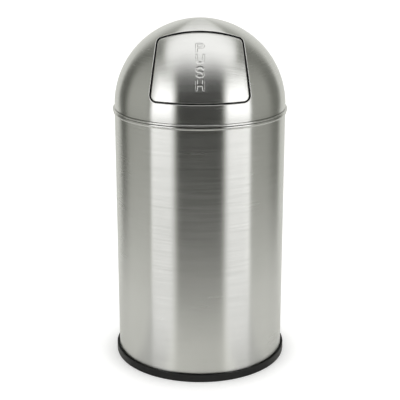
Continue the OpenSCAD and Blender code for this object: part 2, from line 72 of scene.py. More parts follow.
# ---------------------------------------------------------------- node helpers
class Tree:
    """Short calls for building a node tree. A value may be a number or another node's output."""

    def __init__(self, tree):
        self.tree = tree
        self.tree.nodes.clear()

    def node(self, kind, **props):
        n = self.tree.nodes.new(kind)
        for key, value in props.items():
            setattr(n, key, value)
        return n

    def link(self, a, b):
        self.tree.links.new(a, b)

    def put(self, socket, value):
        if isinstance(value, bpy.types.NodeSocket):
            self.link(value, socket)
        else:
            socket.default_value = value

    def math(self, op, a, b=0.0, c=0.0):
        n = self.node("ShaderNodeMath", operation=op)
        for socket, value in zip(n.inputs, (a, b, c)):
            self.put(socket, value)
        return n.outputs[0]

    def add(self, a, b):
        return self.math("ADD", a, b)

    def sub(self, a, b):
        return self.math("SUBTRACT", a, b)

    def mul(self, a, b):
        return self.math("MULTIPLY", a, b)

    def hypot(self, a, b):
        return self.math("SQRT", self.add(self.mul(a, a), self.mul(b, b)))

    def front_angle(self, x, y):
        """The angle round Z from the front (-Y), 0 to 180 degrees on both sides."""
        return self.mul(self.math("ARCTAN2", self.math("ABSOLUTE", x), self.mul(y, -1)), 180 / math.pi)

    def ramp(self, value, lo, hi, a=0.0, b=1.0, smooth=True):
        """a where value is below lo and b where it is above hi, with a soft or straight passage between."""
        kind = "SMOOTHSTEP" if smooth else "LINEAR"
        n = self.node("ShaderNodeMapRange", interpolation_type=kind)
        for socket, v in zip(n.inputs, (value, lo, hi, a, b)):
            self.put(socket, v)
        return n.outputs[0]

    def mix(self, fac, a, b):
        """A colour between a and b, each of them an output or three numbers."""
        n = self.node("ShaderNodeMix", data_type="RGBA")
        self.put(n.inputs[0], fac)
        for socket, v in ((n.inputs[6], a), (n.inputs[7], b)):
            self.put(socket, (*v, 1) if isinstance(v, tuple) else v)
        return n.outputs[2]

    def mix_shader(self, fac, a, b):
        n = self.node("ShaderNodeMixShader")
        for socket, output in zip(n.inputs, (fac, a.outputs[0], b.outputs[0])):
            self.link(output, socket)
        return n

    def lerp(self, fac, a, b):
        n = self.node("ShaderNodeMix", data_type="FLOAT")
        self.put(n.inputs[0], fac)
        self.put(n.inputs[2], a)
        self.put(n.inputs[3], b)
        return n.outputs[0]

    def noise(self, vector, scale, detail, rough):
        n = self.node("ShaderNodeTexNoise")
        self.link(vector, n.inputs["Vector"])
        n.inputs["Scale"].default_value = scale
        n.inputs["Detail"].default_value = detail
        n.inputs["Roughness"].default_value = rough
        return n.outputs["Fac"]

    def streaks(self, place, scales, detail, rough):
        """Noise with a scale of its own along each of the three directions."""
        stretched = [self.mul(value, scale) for value, scale in zip(place, scales)]
        return self.noise(self.vec(*stretched), 1.0, detail, rough)

    def xyz(self, vector):
        n = self.node("ShaderNodeSeparateXYZ")
        self.link(vector, n.inputs[0])
        return n.outputs

    def vec(self, x, y, z):
        n = self.node("ShaderNodeCombineXYZ")
        for socket, v in zip(n.inputs, (x, y, z)):
            self.put(socket, v)
        return n.outputs[0]


def grey(v, warm=0.0):
    """A grey with less blue by the share warm, or with more where that is below 0."""
    return (v, v, v * (1 - warm))


# ---------------------------------------------------------------- world: a tent with two soft boxes
# Levels are strengths of the light: dark in front, grey at the sides, then the rear and the back
FRONT_LEVEL, SIDE_LEVEL, REAR_LEVEL, BACK_LEVELS = 0.03, 0.36, 0.72, (0.78, 0.94)
PAPER_LEVEL, OVERHEAD_LEVEL = 0.2, 1.52
DIM_TINT, BRIGHT_TINT = (1.0, 1.02, 0.9), (1.0, 1.0, 1.0)


def build_world():
    """Light by direction for the bin and the floor. The camera sees plain white."""
    world = bpy.data.worlds.new("studio")
    scene.world = world
    world.use_nodes = True
    t = Tree(world.node_tree)
    out = t.node("ShaderNodeOutputWorld")
    d = t.xyz(t.node("ShaderNodeTexCoord").outputs["Generated"])
    # Azimuth and elevation in degrees
    az = t.front_angle(d[0], d[1])
    el = t.mul(t.math("ARCTAN2", d[2], t.hypot(d[0], d[1])), 180 / math.pi)
    right = t.math("GREATER_THAN", d[0], 0.0)
    # The soft boxes lean outwards, and the paper below their lower edge is dim
    inner_az = t.sub(az, t.ramp(el, 16, 44, 0.0, 10.0))
    outer_az = t.sub(az, t.mul(right, t.ramp(el, 0, 14, 0.0, 3.5)))
    edge = t.ramp(el, 15, 30, 5.5, 9.0)
    above_foot = t.ramp(el, -18, -9)
    below_top = t.ramp(el, 28, 37.5, 1.0, 0.0)
    # The room is dimmer high up, and its side walls end further forward there
    dimming = t.ramp(el, 24, 44, 1.0, t.ramp(az, 112, 138, 0.62, 0.66))
    wall_az = t.add(az, t.ramp(el, 15, 40, 0.0, 5.0))
    rear_az = t.sub(az, t.ramp(el, -12, -4, 0.0, t.lerp(right, 6.0, 3.5)))
    back = t.ramp(el, 8, 24, *BACK_LEVELS)

    def one_side(box_start, box_end, box_level, walls):
        # The room's level over the azimuth, with one soft box where the dark front turns grey
        level = t.lerp(t.ramp(inner_az, 27, 37), FRONT_LEVEL, SIDE_LEVEL)
        for angle, start, end, value in walls:
            level = t.lerp(t.ramp(angle, start, end), level, value)
        level = t.mul(level, dimming)
        inner = t.ramp(inner_az, t.sub(box_start, edge), t.add(box_start, edge))
        outer = t.ramp(outer_az, box_end - 3, box_end + 3, 1.0, 0.0)
        box = t.mul(t.mul(inner, outer), below_top)
        return t.lerp(box, level, t.lerp(above_foot, PAPER_LEVEL, box_level))

    # The side wall, the dark gap behind it, the rear and the back, each with the angles of its passage
    left_walls = [(az, 72, 75, t.ramp(el, -15, -5, 0.34, 0.5)), (wall_az, 105, 122, 0.14),
                  (rear_az, 127, 138, REAR_LEVEL), (az, 150, 172, back)]
    right_walls = [(az, 73, 75, t.ramp(el, -15, -5, 0.28, 0.45)), (wall_az, 98, 120, 0.2),
                   (rear_az, 127, 139, REAR_LEVEL), (az, 150, 172, back)]
    left_level = one_side(34.6, 67.3, 2.06, left_walls)
    right_level = one_side(34.4, 69.3, 2.16, right_walls)
    level = t.lerp(right, left_level, right_level)
    # The light overhead reaches lower at the sides than in front
    reach = t.ramp(az, 26, 58, 0.0, t.lerp(right, 6.7, 8.5))
    level = t.lerp(t.ramp(t.add(el, reach), 55, 65), level, OVERHEAD_LEVEL)
    light = t.node("ShaderNodeBackground")
    t.link(level, light.inputs["Strength"])
    # The boxes are neutral, and the dim room is a little warmer
    brightness = t.ramp(level, 0.05, 1.3, smooth=False)
    t.link(t.mix(brightness, DIM_TINT, BRIGHT_TINT), light.inputs["Color"])
    white = t.node("ShaderNodeBackground")
    white.inputs["Color"].default_value = (1, 1, 1, 1)
    camera_ray = t.node("ShaderNodeLightPath").outputs["Is Camera Ray"]
    seen = t.mix_shader(camera_ray, light, white)
    t.link(seen.outputs[0], out.inputs["Surface"])


build_world()


# ---------------------------------------------------------------- materials
def new_material(name):
    m = bpy.data.materials.new(name)
    m.use_nodes = True
    t = Tree(m.node_tree)
    out = t.node("ShaderNodeOutputMaterial")
    bsdf = t.node("ShaderNodeBsdfPrincipled")
    t.link(bsdf.outputs[0], out.inputs["Surface"])
    where = t.node("ShaderNodeTexCoord").outputs["Object"]
    return m, t, bsdf, where


def bump(t, bsdf, height, strength, distance):
    n = t.node("ShaderNodeBump")
    n.inputs["Strength"].default_value = strength
    n.inputs["Distance"].default_value = distance
    t.link(height, n.inputs["Height"])
    t.link(n.outputs[0], bsdf.inputs["Normal"])


# Noise scales of the scratches along x, y and the height, per metre, and the share of blue steel lacks
FINE_SCALES, BROAD_SCALES = (12, 12, 2600), (8, 8, 300)
STEEL_WARM = 0.03


def brushed_material(name, tone, rough, streak=0.05, form="tube", crease_shade=()):
    """Brushed stainless sheet: long fine scratches, soft smears, light handling marks.
    Tube and dome are brushed round their axis, and the flap from side to side.
    The last argument gives heights, with a half width, of creases where dark shade is painted into the
    colour."""
    m, t, bsdf, where = new_material(name)
    p = t.xyz(where)
    # Height along the sheet, so that the scratches keep their spacing on the sphere
    height = p[2]
    if form == "dome":
        rise = t.math("MAXIMUM", t.sub(p[2], SPHERE_Z), 0.0)
        arc = t.mul(t.math("ARCTAN2", rise, t.hypot(p[0], p[1])), BODY_R)
        height = t.add(t.math("MINIMUM", p[2], SPHERE_Z), arc)
    elif form == "flap":
        tilt = t.math("ARCTAN2", t.sub(p[2], SPHERE_Z), t.mul(p[1], -1))
        height = t.mul(tilt, BODY_R)
    fine = t.streaks((p[0], p[1], height), FINE_SCALES, 3.0, 0.65)
    broad = t.streaks((p[0], p[1], height), BROAD_SCALES, 2.0, 0.6)
    smudge = t.noise(where, 9.0, 3.0, 0.5)
    scratches = t.add(t.mul(fine, 0.6), t.mul(broad, 0.4))
    dark = grey(tone * (1 - streak), STEEL_WARM)
    light = grey(tone * (1 + streak), STEEL_WARM * 0.8)
    colour = t.mix(t.ramp(scratches, 0.3, 0.7), dark, light)
    # Painted shade: in a band round each crease's height the colour darkens to near black, standing in for
    # the shade there
    for crease_z, half_width in crease_shade:
        off = t.math("ABSOLUTE", t.sub(p[2], crease_z))
        painted_shade = t.ramp(off, half_width * 0.6, half_width, 0.85, 0.0)
        colour = t.mix(painted_shade, colour, grey(0.05, 0.1))
    t.link(colour, bsdf.inputs["Base Color"])
    smears = t.add(t.mul(broad, 0.5), t.mul(smudge, 0.5))
    t.link(t.ramp(smears, 0.25, 0.75, rough * 0.88, rough * 1.12), bsdf.inputs["Roughness"])
    bsdf.inputs["Metallic"].default_value = 1.0
    bsdf.inputs["Anisotropic"].default_value = 1.0
    bsdf.inputs["Anisotropic Rotation"].default_value = 0.25
    grain = t.vec(1.0, 0.0, 0.0) if form == "flap" else t.vec(t.mul(p[1], -1), p[0], 0.0)
    turned = t.node("ShaderNodeVectorTransform", vector_type="VECTOR",
                    convert_from="OBJECT", convert_to="WORLD")
    t.link(grain, turned.inputs[0])
    t.link(turned.outputs[0], bsdf.inputs["Tangent"])
    bump(t, bsdf, fine, 0.25, 0.00003)
    return m


def plated_material(name, tone, rough):
    """Zinc plated steel or spring wire: a faint mottle and fine scratches."""
    m, t, bsdf, where = new_material(name)
    mottle = t.noise(where, 160.0, 4.0, 0.6)
    scratch = t.streaks(t.xyz(where), (60, 900, 900), 2.0, 0.6)
    colour = t.mix(t.ramp(mottle, 0.3, 0.7), grey(tone * 0.86, -0.04), grey(tone * 1.1, -0.02))
    t.link(colour, bsdf.inputs["Base Color"])
    t.link(t.ramp(scratch, 0.3, 0.7, rough * 0.8, rough * 1.2), bsdf.inputs["Roughness"])
    bsdf.inputs["Metallic"].default_value = 1.0
    bump(t, bsdf, mottle, 0.2, 0.0001)
    return m


def galvanised_material(name, tone):
    """Galvanised sheet: flat crystals of zinc, each a little lighter or darker."""
    m, t, bsdf, where = new_material(name)
    cells = t.node("ShaderNodeTexVoronoi", feature="F1")
    t.link(where, cells.inputs["Vector"])
    cells.inputs["Scale"].default_value = 130.0
    tint = t.math("FRACT", t.mul(t.xyz(cells.outputs["Color"])[0], 7.3))
    haze = t.noise(where, 40.0, 3.0, 0.6)
    shade = t.add(t.mul(tint, 0.65), t.mul(haze, 0.35))
    t.link(t.mix(shade, grey(tone * 0.78, -0.06), grey(tone * 1.15, -0.04)), bsdf.inputs["Base Color"])
    t.link(t.ramp(shade, 0.0, 1.0, 0.34, 0.52, smooth=False), bsdf.inputs["Roughness"])
    bsdf.inputs["Metallic"].default_value = 1.0
    bump(t, bsdf, shade, 0.15, 0.00012)
    return m


def moulded_material(name, tone, rough, grain, shine=0.5):
    """Moulded black plastic or rubber with a fine grain and a little dust."""
    m, t, bsdf, where = new_material(name)
    fine = t.noise(where, grain, 3.0, 0.6)
    dust = t.noise(where, 22.0, 5.0, 0.65)
    t.link(t.mix(t.ramp(dust, 0.45, 0.8), grey(tone), grey(tone * 1.7)), bsdf.inputs["Base Color"])
    t.link(t.ramp(dust, 0.3, 0.8, rough * 0.92, rough * 1.15), bsdf.inputs["Roughness"])
    bsdf.inputs["Specular IOR Level"].default_value = shine
    bump(t, bsdf, fine, 0.3, 0.0002)
    return m


# Heights of creases on the tube and the dome, with half widths, where shade is painted as a dark band
TUBE_CREASE_SHADE = ((0.5305, 0.0009),)
DOME_CREASE_SHADE = ((0.5349, 0.00045), (0.531, 0.0004))
tube_steel = brushed_material("brushed_tube", 0.68, 0.25, crease_shade=TUBE_CREASE_SHADE)
dome_steel = brushed_material("brushed_dome", 0.68, 0.25, form="dome", crease_shade=DOME_CREASE_SHADE)
flap_steel = brushed_material("brushed_flap", 0.68, 0.25, streak=0.055, form="flap")
inner_steel = brushed_material("brushed_inner", 0.5, 0.42)
plated = plated_material("zinc_plated", 0.5, 0.3)
spring_wire = plated_material("spring_wire", 0.3, 0.34)
galvanised = galvanised_material("galvanised", 0.56)
black_plastic = moulded_material("black_plastic", 0.009, 0.42, 900.0, shine=0.3)
black_rubber = moulded_material("black_rubber", 0.01, 0.75, 1600.0)

# Nodes that aren't named here are zinc plated
FINISH = {
    "base_ring": black_plastic,
    "bottom_plate": inner_steel,
    "body_shell": tube_steel,
    "dome_shell": dome_steel,
    "dome_collar": inner_steel,
    "flap_panel": flap_steel,
    "flap_spring_left": spring_wire,
    "flap_spring_right": spring_wire,
    "rod_caps": spring_wire,
    "stop_bumper_left": black_rubber,
    "stop_bumper_right": black_rubber,
    "liner_shell": galvanised,
    "liner_base": galvanised,
    "liner_ear_left": galvanised,
    "liner_ear_right": galvanised,
}


def dress(obj, material):
    obj.data.materials.clear()
    obj.data.materials.append(material)


for node_name, node_object in nodes.items():
    dress(node_object, FINISH.get(node_name, plated))


# ---------------------------------------------------------------- mesh helpers
def make_piece(name, points, faces, material, body):
    """A smooth mesh as a piece of the object, attached to the body when one is given."""
    mesh = bpy.data.meshes.new(name)
    mesh.from_pydata([tuple(map(float, p)) for p in points], [], faces)
    mesh.validate()
    mesh.polygons.foreach_set("use_smooth", [True] * len(mesh.polygons))
    obj = bpy.data.objects.new(name, mesh)
    scene.collection.objects.link(obj)
    dress(obj, material)
    if body:
        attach(obj, body)
    return obj


def ring_faces(rings, size, closed=False, start=0):
    """Quads between neighbouring rings of equal size; closed joins the last ring to the first."""
    faces = []
    for k in range(rings if closed else rings - 1):
        a, b = start + k * size, start + (k + 1) % rings * size
        for s in range(size):
            after = (s + 1) % size
            faces.append((a + s, a + after, b + after, b + s))
    return faces


def unit(vectors):
    """Each row at a length of 1."""
    return vectors / np.linalg.norm(vectors, axis=1)[:, None]


# ---------------------------------------------------------------- the flap's outline, as in the CAD
# From here to the floor, lengths are in millimetres.
SPHERE_MM = 1000 * SPHERE_Z
BODY_MM = 1000 * BODY_R
CENTRE = np.array([0, 0, SPHERE_MM])
SHEET_MM = 0.8
FLAP_BOTTOM = 574.632
FLAP_H, FLAP_W, FLAP_LEAN = 120.7, 190.8, math.radians(7.1)
FLAP_TOP_R, TOP_CORNER_R, LOW_CORNER_R = 218.6, 10.6, 9.6
FLAP_GAP, LIP_DEPTH, HEM_DEPTH = 2.8, 2.0, 3.0
# The bend's radius in the turned-in edges, and how far from the outline the plain face ends
EDGE_R = 1.4
EDGE_BED = EDGE_R + 0.6


def flap_outline():
    """Points of the flap's outline with their outward directions, seen from the front, anticlockwise."""
    side = FLAP_W / 2 * math.cos(FLAP_LEAN)
    low_c = ((side - LOW_CORNER_R * (1 + math.sin(FLAP_LEAN))) / math.cos(FLAP_LEAN), LOW_CORNER_R)
    # The upper corner's centre lies on a line beside the leaning side and a circle inside the top edge
    top_cz = FLAP_H - FLAP_TOP_R
    line_x = (side - TOP_CORNER_R) / math.cos(FLAP_LEAN)
    lean_tan = math.tan(FLAP_LEAN)
    circle_r = FLAP_TOP_R - TOP_CORNER_R
    b = line_x * lean_tan + top_cz
    slant = lean_tan * lean_tan + 1
    root = math.sqrt(b * b - slant * (line_x * line_x + top_cz * top_cz - circle_r * circle_r))
    up_z = (b + root) / slant
    up_c = (line_x - lean_tan * up_z, up_z)
    up_a = math.atan2(up_z - top_cz, up_c[0])
    pts, out = [], []

    def arc(c, r, a0, a1, n):
        for a in np.linspace(a0, a1, n + 1):
            pts.append((c[0] + r * math.cos(a), c[1] + r * math.sin(a)))
            out.append((math.cos(a), math.sin(a)))

    def straight(p, q, n):
        # Fills in a straight line with points that keep the direction of its ends
        d = out[-1]
        for f in np.linspace(0, 1, n + 1)[1:-1]:
            pts.append((p[0] + (q[0] - p[0]) * f, p[1] + (q[1] - p[1]) * f))
            out.append(d)

    half_pi = math.pi / 2
    arc(low_c, LOW_CORNER_R, -half_pi, FLAP_LEAN, 12)
    end = (up_c[0] + TOP_CORNER_R * math.cos(FLAP_LEAN), up_c[1] + TOP_CORNER_R * math.sin(FLAP_LEAN))
    straight(pts[-1], end, 36)
    arc(up_c, TOP_CORNER_R, FLAP_LEAN, up_a, 12)
    for a in np.linspace(up_a, half_pi, 29)[1:]:
        pts.append((FLAP_TOP_R * math.cos(a), top_cz + FLAP_TOP_R * math.sin(a)))
        out.append((math.cos(a), math.sin(a)))
    # The left half mirrors the right one, and the lower edge closes the outline
    right_p, right_n = np.array(pts), np.array(out)
    flip = np.array([-1, 1])
    pts = list(map(tuple, right_p)) + list(map(tuple, right_p[-2::-1] * flip))
    out = list(map(tuple, right_n)) + list(map(tuple, right_n[-2::-1] * flip))
    straight(pts[-1], pts[0], 44)
    return np.array(pts), np.array(out)


OUT_P, OUT_N = flap_outline()
OUT_COUNT = len(OUT_P)


def on_sphere(xz, depth):
    """Points on the dome's front at these places of the front view, depth below its face."""
    x, z = xz[:, 0], xz[:, 1] + FLAP_BOTTOM
    y = -np.sqrt(np.maximum((BODY_MM - depth) ** 2 - x * x - (z - SPHERE_MM) ** 2, 0))
    return np.stack([x, y, z], -1)


def edge_ring(growth, depth):
    """The outline, moved outwards by growth, on the sphere."""
    return on_sphere(OUT_P + growth * OUT_N, depth)


def edge_profile(sign, depth_end, edge=0.0):
    """Section of a turned-in edge as (growth, depth) pairs from the outer face to the inner face.
    sign is +1 where the sheet lies inside the outline, as the flap's does, and -1 for the opening's."""
    bend, sheet, tip, nick = EDGE_R, SHEET_MM, 0.25, 0.07
    inner_bend = bend - sheet
    pairs = [(-EDGE_BED, 0.0), (-bend - 0.15, 0.0)]
    pairs += [(-bend + bend * math.sin(a), bend - bend * math.cos(a))
              for a in np.linspace(0, math.pi / 2, 8)]
    pairs += [(0, depth_end - tip), (-nick, depth_end - nick), (-tip, depth_end)]
    pairs += [(-sheet + tip, depth_end), (-sheet + nick, depth_end - nick), (-sheet, depth_end - tip)]
    pairs += [(-bend + inner_bend * math.sin(a), bend - inner_bend * math.cos(a))
              for a in np.linspace(math.pi / 2, 0, 5)]
    pairs += [(-EDGE_BED, sheet)]
    return [(edge + sign * g, d) for g, d in pairs]


# ---------------------------------------------------------------- the flap's stamped letters
def oval_arc(cx, cy, rx, ry, start, end, n=10):
    """Points on part of an oval, with its angles in degrees."""
    return [(cx + rx * math.cos(math.radians(a)), cy + ry * math.sin(math.radians(a)))
            for a in np.linspace(start, end, n + 1)]


# Own plain block forms. Each letter is a list of strokes, from -1 to 1 across and upwards
LETTERS = [
    [[(-1, -1), (-1, 1)],
     [(-1, 1), (0.25, 1)] + oval_arc(0.25, 0.45, 0.75, 0.55, 90, -90) + [(-1, -0.1)]],
    [[(-1, 1), (-1, -0.3)] + oval_arc(0, -0.3, 1, 0.7, 180, 360, 14) + [(1, 1)]],
    [oval_arc(0, 0.5, 0.95, 0.5, 20, 270, 14) + oval_arc(0, -0.5, 0.95, 0.5, 90, -160, 14)],
    [[(-1, -1), (-1, 1)], [(1, -1), (1, 1)], [(-1, 0), (1, 0)]],
]
# Elevation of each letter's middle in degrees, half its height between the middles of its strokes, and
# its depth, which leaves the flap bare where it is 0
LETTER_PLACES = ((49.6, 8.9, 0.8), (40.8, 8.8, 0.75), (31.8, 9.7, 0.62), (23.1, 8.7, 0.47))
# Half a letter's width, half the width of a stroke's floor, and the width of the slope beside that
HALF_W, STROKE, SLOPE = 6.7, 1.1, 1.8


def stamp_depth(x, up):
    """Depth of the stamping at these places: x across, up along the dome's curve from its equator."""
    depth = np.zeros(x.shape)
    margin = 4
    for strokes, (middle, half_h, deep) in zip(LETTERS, LETTER_PLACES):
        above = up - math.radians(middle) * BODY_MM
        some = (abs(above) < half_h + margin) & (abs(x) < HALF_W + margin)
        px, py = x[some], above[some]
        near = np.full(px.shape, 99.0)
        for line in strokes:
            for (ax, ay), (bx, by) in zip(line[:-1], line[1:]):
                ax, ay, bx, by = ax * HALF_W, ay * half_h, bx * HALF_W, by * half_h
                dx, dy = bx - ax, by - ay
                f = np.clip(((px - ax) * dx + (py - ay) * dy) / max(dx * dx + dy * dy, 1e-9), 0, 1)
                near = np.minimum(near, np.hypot(px - ax - f * dx, py - ay - f * dy))
        t = np.clip((STROKE + SLOPE - near) / SLOPE, 0, 1)
        depth[some] = np.maximum(depth[some], deep * t * t * (3 - 2 * t))
    return depth


def stamp(flat):
    """Depth of the stamping, and its slopes across and upwards, at points of the front view."""
    x = flat[:, 0]
    up = BODY_MM * np.arcsin((flat[:, 1] + FLAP_BOTTOM - SPHERE_MM) / np.sqrt(BODY_MM ** 2 - x * x))
    d = 0.1
    slope_x = (stamp_depth(x + d, up) - stamp_depth(x - d, up)) / (2 * d)
    slope_up = (stamp_depth(x, up + d) - stamp_depth(x, up - d)) / (2 * d)
    return stamp_depth(x, up), slope_x, slope_up


# ---------------------------------------------------------------- flap
def flap_grid():
    """A fine net of points where the word is stamped and a coarse one round it, in the front view."""
    rim = OUT_P - EDGE_BED * OUT_N
    # Lengths, and the fine net's lowest and highest elevation in degrees
    step, wide, lowest, highest = 0.36, 9.4, 16.5, 55.5
    coarse_step, coarse_wide, rim_space, net_space = 3.0, 93, 2.0, 1.5
    lift = np.arange(lowest, highest, math.degrees(step / BODY_MM))
    a, x = np.meshgrid(np.radians(lift), np.arange(-wide, wide + 0.01, step))
    z = np.sqrt(BODY_MM ** 2 - x * x) * np.sin(a) + SPHERE_MM - FLAP_BOTTOM
    fine = np.stack([x.ravel(), z.ravel()], -1)
    gx, gz = np.meshgrid(np.arange(-coarse_wide, coarse_wide + 0.1, coarse_step),
                         np.arange(coarse_step, FLAP_H, coarse_step))
    coarse = np.stack([gx.ravel(), gz.ravel()], -1)
    # Coarse points keep clear of the rim and of the fine net
    edge = np.roll(rim, -1, axis=0) - rim
    beside = coarse[:, None] - rim[None]
    inside = (edge[None, :, 0] * beside[:, :, 1] - edge[None, :, 1] * beside[:, :, 0]
              > rim_space * np.linalg.norm(edge, axis=1)[None]).all(1)
    far = ((abs(coarse[:, 0]) > wide + net_space)
           | (coarse[:, 1] < z.min() - net_space) | (coarse[:, 1] > z.max() + net_space))
    flat = np.concatenate([rim, fine, coarse[inside & far]])
    made = delaunay_2d_cdt([tuple(p) for p in flat.tolist()], [], [list(range(OUT_COUNT))], 1, 1e-5)
    return np.array([tuple(v) for v in made[0]]), [tuple(f) for f in made[2]], made[3]


def build_flap():
    """The flap's sheet with its stamped word, and its edge turned in all round."""
    flat, tris, source = flap_grid()
    stamped, slope_x, slope_up = stamp(flat)
    count = len(flat)
    outer, inner = on_sphere(flat, stamped), on_sphere(flat, SHEET_MM + stamped)
    radial = unit(outer - CENTRE)
    up = np.cross([1.0, 0, 0], radial) * -1
    normal = radial + slope_x[:, None] * np.array([1.0, 0, 0]) + slope_up[:, None] * up
    # The rim's points lead over the turned-in edge from the outer to the inner face
    rim = np.empty(OUT_COUNT, int)
    for v, sources in enumerate(source):
        for k in sources:
            if k < OUT_COUNT:
                rim[k] = v
    edge = [edge_ring(growth, depth) for growth, depth in edge_profile(1, HEM_DEPTH)[1:-1]]
    edge_rings = [2 * count + k * OUT_COUNT + np.arange(OUT_COUNT) for k in range(len(edge))]
    rings = [rim] + edge_rings + [rim + count]
    points = np.concatenate([outer, inner] + edge) / 1000
    turn = np.roll(np.arange(OUT_COUNT), -1)
    faces = [t if np.cross(*(flat[list(t[1:])] - flat[t[0]])) > 0 else t[::-1] for t in tris]
    faces += [tuple(count + v for v in t[::-1]) for t in faces]
    for a, b in zip(rings[:-1], rings[1:]):
        faces += list(zip(a[turn].tolist(), a.tolist(), b.tolist(), b[turn].tolist()))
    flap = make_piece("flap_sheet", points, faces, flap_steel, "flap")
    # Own normals for both faces and the edge's first ring. Zeros leave the rest to Blender
    rest = np.zeros((len(points) - 2 * count - OUT_COUNT, 3))
    normals = np.concatenate([normal, -normal, edge[0] - CENTRE, rest])
    length = np.maximum(np.linalg.norm(normals, axis=1), 1e-9)[:, None]
    flap.data.normals_split_custom_set_from_vertices((normals / length).tolist())
    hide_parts("flap_panel")


# ---------------------------------------------------------------- dome
def spread(ring, radius, shares):
    """Rings from one round the opening to the sphere's lower edge, along great circles that come from
    the flap's middle."""
    lean = math.asin((FLAP_BOTTOM + FLAP_H * 0.5 - SPHERE_MM) / BODY_MM)
    front = np.array([0, -math.cos(lean), math.sin(lean)])
    rise = np.array([0, math.sin(lean), math.cos(lean)])
    across = np.array([1.0, 0, 0])
    u = unit((ring - CENTRE) / radius)
    start = np.arccos(np.clip(u @ front, -1, 1))
    turn = np.arctan2(u @ across, u @ rise)
    end = np.arctan2(math.sin(lean), -math.cos(lean) * np.cos(turn))
    sideways = np.cos(turn)[:, None] * rise + np.sin(turn)[:, None] * across
    made = []
    for f in shares:
        d = start + (end - start) * f
        made.append(CENTRE + radius * (np.cos(d)[:, None] * front + np.sin(d)[:, None] * sideways))
    return made


def dome_skirt():
    """Section (r, z) below the sphere. The lower edge is rolled outwards and pressed to a band, with a
    crease against the skirt."""
    out, top, low = 179.05, 534.5, 531.0
    section = [(BODY_MM, z) for z in (538.0, 536.5, 535.2, top + 0.2, top + 0.02)]
    section += [(BODY_MM + d, top) for d in (0.02, 0.25)]
    for r, x, z, start, end in ((1.4, out - 1.4, top - 1.4, 90, 0), (1.0, out - 1.0, low + 1.0, 0, -90),
                                (0.8, BODY_MM, low + 0.8, -90, -180)):
        section += [(x + r * math.cos(a), z + r * math.sin(a))
                    for a in np.radians(np.linspace(start, end, 10))]
    return section + [(BODY_MM - SHEET_MM, z) for z in (532.4, 534.5, 538.0)]


def build_dome():
    """The dome with its opening, the lip turned in round that, and the band along the lower edge."""
    profile = edge_profile(-1, LIP_DEPTH, FLAP_GAP)
    # Shares of the way from the opening to the sphere's lower edge, closer together near the opening
    outer_shares = np.linspace(0, 1, 84)[1:] ** 1.25
    inner_shares = (np.linspace(0, 1, 40)[1:] ** 1.25)[::-1]
    outer = spread(edge_ring(*profile[0]), BODY_MM, outer_shares)
    inner = spread(edge_ring(*profile[-1]), BODY_MM - SHEET_MM, inner_shares)
    flat = unit(outer[-1][:, :2])
    skirt = [np.concatenate([flat * r, np.full((OUT_COUNT, 1), z)], axis=1) for r, z in dome_skirt()]
    lip = [edge_ring(growth, depth) for growth, depth in profile]
    # Outer face, skirt and band, inner face, and the lip from inside to outside close one ring of rings
    rings = outer + skirt + inner + lip[::-1]
    points = np.concatenate(rings) / 1000
    faces = ring_faces(len(rings), OUT_COUNT, closed=True)
    dome = make_piece("dome_sheet", points, faces, dome_steel, "dome")
    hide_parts("dome_shell")


# ---------------------------------------------------------------- tube and base ring
def build_tube():
    """The body's tube: its weld seam up the back and the bead rolled round its top edge."""
    seam_half, seam_h, foot = 1.4, 0.13, 5.3
    bead_r, bead_z, bead_w, bead_up, bead_down = 174.7, 528.0, 3.0, 2.7, 4.7
    low = bead_z - 0.986 * bead_down
    seam = np.linspace(-seam_half, seam_half, 9)
    around = np.linspace(seam_half, 2 * math.pi * BODY_MM - seam_half, 250)[1:-1]
    aside = np.concatenate([seam, around])
    turn = aside / BODY_MM
    ridge = seam_h * np.maximum(1 - (aside / seam_half) ** 2, 0)
    direction = np.stack([-np.sin(turn), np.cos(turn)], -1)
    # Radius, height, and 1 where the weld's ridge stands out
    section = [(BODY_MM - SHEET_MM, foot, 0), (BODY_MM, foot, 0), (BODY_MM, 17.4, 0), (BODY_MM, 18.0, 1)]
    section += [(BODY_MM, z, 1) for z in np.linspace(60, 500, 8)]
    section += [(BODY_MM, 521.5, 1), (BODY_MM, 522.1, 0), (BODY_MM, low - 0.25, 0), (BODY_MM, low - 0.02, 0)]
    for a in np.radians([-84, -80, *np.linspace(-74, 250, 44), 257, 260.4]):
        bead_h = bead_up if math.sin(a) > 0 else bead_down
        section.append((bead_r + bead_w * math.cos(a), bead_z + bead_h * math.sin(a), 0))
    section += [(BODY_MM - SHEET_MM, z, 0) for z in (low - 0.3, low - 3)]
    rings = [np.concatenate([direction * (r + ridge * k)[:, None], np.full((len(turn), 1), z)], axis=1)
             for r, z, k in section]
    points = np.concatenate(rings) / 1000
    faces = ring_faces(len(rings), len(turn), closed=True)
    tube = make_piece("tube_sheet", points, faces, tube_steel, "body")
    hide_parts("body_shell")


def rounded(corners, n=6, hold=0.15):
    """Section with its corners (r, z, radius) rounded, and a point beside each round that keeps the
    flats flat."""
    at = np.array([c[:2] for c in corners], float)
    pts = []
    for k, (_, _, radius) in enumerate(corners):
        u, v = at[k - 1] - at[k], at[(k + 1) % len(at)] - at[k]
        u, v = u / np.linalg.norm(u), v / np.linalg.norm(v)
        half_angle = math.acos(np.clip(u @ v, -1, 1)) / 2
        d = radius / math.tan(half_angle)
        middle = at[k] + (u + v) / np.linalg.norm(u + v) * radius / math.sin(half_angle)
        a, b = at[k] + u * d - middle, at[k] + v * d - middle
        turn = 2 * math.atan2(a[0] * b[1] - a[1] * b[0], a @ b + radius ** 2)
        pts.append(tuple(at[k] + u * (d + hold)))
        for f in np.linspace(0, 1, n + 1):
            c, s = math.cos(turn * f), math.sin(turn * f)
            pts.append((middle[0] + a[0] * c - a[1] * s, middle[1] + a[0] * s + a[1] * c))
        pts.append(tuple(at[k] + v * (d + hold)))
    return pts


